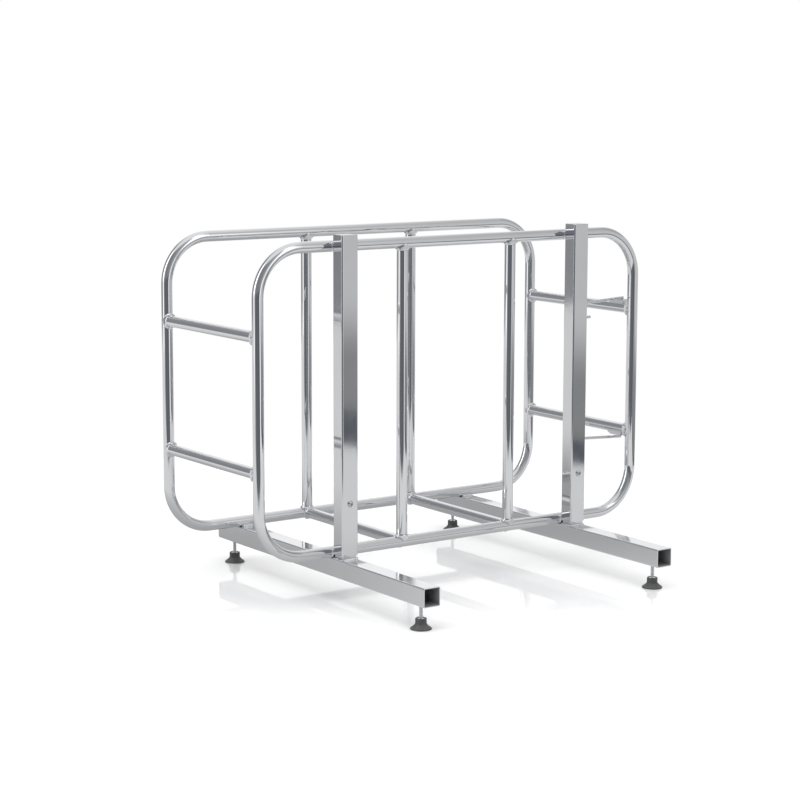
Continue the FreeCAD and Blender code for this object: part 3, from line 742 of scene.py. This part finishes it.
# The same higher up, under the ceiling.
OVERHEAD = [
    (-180, 1.00),
    (-160, 0.90),
    (-138, 0.34),
    (-112, 0.26),
    (-90, 0.40),
    (-82, 2.60),
    (-68, 2.40),
    (-60, 0.40),
    (-25, 0.22),
    (20, 0.30),
    (46, 0.50),
    (54, 1.90),
    (64, 1.60),
    (72, 0.60),
    (96, 0.52),
    (124, 0.40),
    (148, 0.56),
    (168, 0.92),
    (180, 1.00),
]
DARK_TINT = (0.90, 0.97, 1.10)
# Heights on the unit sphere between which one brightness gives way to the next.
EYE_TO_OVERHEAD = (-0.02, 0.12)
OVERHEAD_TO_CEILING = (0.72, 0.90)


def turn_ramp(graph, turned, stops):
    """A ramp of greys round the horizon; the darker ones lean to the dark tint."""
    ramp = graph.add("ValToRGB", Fac=turned)
    ramp.color_ramp.interpolation = "LINEAR"
    elements = ramp.color_ramp.elements
    while len(elements) < len(stops):
        elements.new(1.0)
    for element, (degrees, value) in zip(elements, stops):
        element.position = (degrees + 180) / 360
        tint = Vector(DARK_TINT).lerp(Vector((1, 1, 1)), min(value / 0.5, 1.0))
        element.color = grey(value, tint)
    return ramp.outputs["Color"]


def build_world():
    """A plain white backdrop to look at, and a studio for the metal to reflect."""
    world = bpy.data.worlds.new("Studio")
    bpy.context.scene.world = world
    world.use_nodes = True
    graph = Graph(world.node_tree)
    direction = graph.add("TexCoord").outputs["Generated"]
    spin = graph.add("Mapping", {"vector_type": "POINT"}, Vector=direction)
    spin.inputs["Rotation"].default_value = (0.0, 0.0, -(AWAY_ANGLE + math.pi))
    split = graph.add("SeparateXYZ", Vector=spin.outputs[0])
    angle = graph.math("ARCTAN2", split.outputs["Y"], split.outputs["X"])
    turned = graph.fit(angle, (-math.pi, math.pi))
    low = turn_ramp(graph, turned, EYE_LEVEL)
    high = turn_ramp(graph, turned, OVERHEAD)
    height = split.outputs["Z"]
    colour = graph.blend(graph.fit(height, EYE_TO_OVERHEAD, smooth=True), low, high)
    ceiling = graph.fit(height, OVERHEAD_TO_CEILING, smooth=True)
    colour = graph.blend(ceiling, colour, grey(0.86))
    studio = graph.add("Background", Color=colour, Strength=1.0)
    plain = graph.add("Background", Color=grey(1.0), Strength=1.0)
    seen = graph.add("LightPath").outputs["Is Camera Ray"]
    shader = graph.add("MixShader", in_0=seen, in_1=studio.outputs[0], in_2=plain.outputs[0])
    graph.add("OutputWorld", Surface=shader.outputs[0])


def distance_along(graph, where, direction):
    """How far a point lies along a direction from the rack's middle."""
    aim = graph.add("VectorMath", {"operation": "DOT_PRODUCT"}, in_0=where, in_1=direction)
    return aim.outputs["Value"]


def flat_stage(name, corners, surface_maker, seen_by_camera=False):
    """A flat stage piece; one that the camera doesn't see is there for the metal to mirror."""
    bm = bmesh.new()
    bm.faces.new([bm.verts.new(corner) for corner in corners])
    mesh = bpy.data.meshes.new(name)
    bm.to_mesh(mesh)
    bm.free()
    piece = bpy.data.objects.new(name, mesh)
    bpy.context.scene.collection.objects.link(piece)
    mesh.materials.append(surface_maker())
    piece.visible_camera = seen_by_camera
    piece.visible_glossy = not seen_by_camera
    piece.visible_diffuse = seen_by_camera
    piece.visible_shadow = seen_by_camera


def level_square(half, drop):
    """Corners of a level square about the middle, a drop below z = 0."""
    corners = ((-1, -1), (1, -1), (1, 1), (-1, 1))
    return [Vector((x * half, y * half, -drop)) for x, y in corners]


# Where the floor's gloss sets in on the way from the camera, and where the floor fades out.
GLOSS_FROM = (-0.46, -0.10)
FLOOR_FADE = (0.85, 1.7)


def floor_surface():
    """White, with a gloss under the rack that fades towards the camera and at its margin."""
    material, graph, where = new_graph("White floor")
    glaze = graph.noise(where, 3.0, detail=3.0, rough=0.5)
    away = distance_along(graph, where, AWAY)
    matt = graph.add("BsdfDiffuse", Color=grey(0.98))
    shine = graph.fit(glaze, (0.3, 0.7), (0.02, 0.05))
    gloss = graph.add("BsdfGlossy", Color=grey(1.0), Roughness=shine)
    fresnel = graph.add("Fresnel", IOR=1.75)
    strength = graph.fit(away, GLOSS_FROM, smooth=True)
    strength = graph.math("MULTIPLY", strength, fresnel.outputs[0])
    base = graph.add("MixShader", in_0=strength, in_1=matt.outputs[0], in_2=gloss.outputs[0])
    far = graph.add("VectorMath", {"operation": "LENGTH"}, in_0=where)
    fade = graph.fit(far.outputs["Value"], FLOOR_FADE, smooth=True)
    clear = graph.add("BsdfTransparent")
    shader = graph.add("MixShader", in_0=fade, in_1=base.outputs[0], in_2=clear.outputs[0])
    graph.add("OutputMaterial", Surface=shader.outputs[0])
    return material


# The mirrored floor ends towards the camera and to one side, where the posts' fronts
# mirror its edge. Its shade is an oval behind the front hoop.
NEAR_EDGE = (-1.25, -0.98)
FLOOR_SIDE = Vector((0.86, -0.51, 0.0))
SIDE_EDGE = (1.09, 1.20)
SHADE_MIDDLE = (-0.05, 0.40, 0.0)
SHADE_SQUEEZE = (1.7, 1.5, 0.0)
SHADE_REACH = (0.35, 1.5)


def mirrored_floor_surface():
    """What the metal mirrors of the floor: pale, shaded behind the front hoop, with an edge."""
    material, graph, where = new_graph("Mirrored floor")
    away = distance_along(graph, where, AWAY)
    aside = distance_along(graph, where, FLOOR_SIDE)
    offset = graph.add("VectorMath", {"operation": "SUBTRACT"}, in_0=where, in_1=SHADE_MIDDLE)
    offset = offset.outputs["Vector"]
    oval = graph.add("VectorMath", {"operation": "MULTIPLY"}, in_0=offset, in_1=SHADE_SQUEEZE)
    reach = graph.add("VectorMath", {"operation": "LENGTH"}, in_0=oval.outputs["Vector"])
    shade = graph.fit(reach.outputs["Value"], SHADE_REACH, smooth=True)
    colour = graph.blend(shade, grey(0.42), grey(0.78))
    glow = graph.add("Emission", Color=colour)
    near_edge = graph.fit(away, NEAR_EDGE, (1.0, 0.0), smooth=True)
    side_edge = graph.fit(aside, SIDE_EDGE, smooth=True)
    gone = graph.math("MAXIMUM", near_edge, side_edge)
    clear = graph.add("BsdfTransparent")
    shader = graph.add("MixShader", in_0=gone, in_1=glow.outputs[0], in_2=clear.outputs[0])
    graph.add("OutputMaterial", Surface=shader.outputs[0])
    return material


# Heights between which the board goes from dark to pale.
BOARD_DARK = (0.12, 0.30)


def mirrored_board_surface():
    """A board beyond the mirrored floor's edge, dark at its foot and darker below the floor."""
    material, graph, where = new_graph("Mirrored board")
    height = graph.add("SeparateXYZ", Vector=where).outputs["Z"]
    value = graph.fit(height, BOARD_DARK, smooth=True)
    cloud = graph.noise(where, 1.5, detail=2.0, rough=0.5)
    value = graph.math("ADD", value, graph.fit(cloud, (0.3, 0.7), (-0.06, 0.06)))
    colour = graph.blend(value, grey(0.28), grey(0.62))
    below = graph.math("LESS_THAN", height, 0.0)
    colour = graph.blend(below, colour, grey(0.13, DARK_TINT))
    glow = graph.add("Emission", Color=colour)
    graph.add("OutputMaterial", Surface=glow.outputs[0])
    return material


# Both floors lie just under the feet. The board stands on BOARD_FOOT and runs along
# BOARD_RUN, so far towards the camera and so far away from it.
FLOOR_HALF = 3.2
FLOOR_DROP = 0.15 * MM
MIRRORED_DROP = 0.3 * MM
BOARD_RUN = Vector((0.277, 0.96, 0.0))
BOARD_FOOT = Vector((0.96, -0.277, 0.0)) * 1.30
BOARD_NEAR = 2.2
BOARD_FAR = 0.6
BOARD_TOP = 0.9
BOARD_BOTTOM = -0.5


def build_floor_and_board():
    """The floor that the camera sees, and the floor and board that only the metal mirrors."""
    flat_stage("floor", level_square(FLOOR_HALF, FLOOR_DROP), floor_surface, seen_by_camera=True)
    mirrored = level_square(FLOOR_HALF, MIRRORED_DROP)
    flat_stage("mirrored_floor", mirrored, mirrored_floor_surface)
    near, far = BOARD_FOOT - BOARD_RUN * BOARD_NEAR, BOARD_FOOT + BOARD_RUN * BOARD_FAR
    up, down = AXIS_Z * BOARD_TOP, AXIS_Z * BOARD_BOTTOM
    corners = [near + down, far + down, far + up, near + up]
    flat_stage("mirrored_board", corners, mirrored_board_surface)


SUN_STRENGTH = 1.75
SUN_SPREAD = math.radians(70)
SUN_AIM = Vector((0.35, 0.25, -1.0))


def build_light():
    """One broad even light from above the camera; the metal mirrors the studio instead."""
    lamp = bpy.data.lights.new("daylight", "SUN")
    lamp.energy = SUN_STRENGTH
    lamp.angle = SUN_SPREAD
    holder = bpy.data.objects.new("daylight", lamp)
    holder.rotation_euler = SUN_AIM.to_track_quat("-Z", "Y").to_euler()
    holder.visible_glossy = False
    bpy.context.scene.collection.objects.link(holder)


def build_camera():
    """The photograph's viewing angle and framing."""
    camera = bpy.data.cameras.new("camera")
    camera.lens = LENS_MM
    camera.sensor_width = SENSOR_MM
    camera.shift_x, camera.shift_y = SHIFT
    holder = bpy.data.objects.new("camera", camera)
    turn = Matrix.Rotation(-CAMERA_TURN, 4, "Z")
    tilt = Matrix.Rotation(math.pi / 2 - CAMERA_DIP, 4, "X")
    roll = Matrix.Rotation(CAMERA_ROLL, 4, "Z")
    holder.matrix_world = Matrix.Translation(CAMERA_AT) @ turn @ tilt @ roll
    bpy.context.scene.collection.objects.link(holder)
    bpy.context.scene.camera = holder


def build_studio():
    """Everything round the rack, and colours shown as they are."""
    build_world()
    build_floor_and_board()
    build_light()
    build_camera()
    view = bpy.context.scene.view_settings
    view.view_transform = "Standard"
    view.look = "None"


# ---------------------------------------------------------------- build

paint_cad()
tube_welds()
post_and_base_welds()
for end in ENDS:
    for side in SIDES:
        foot_stem(end, side)
        foot_pad(end, side)
build_studio()
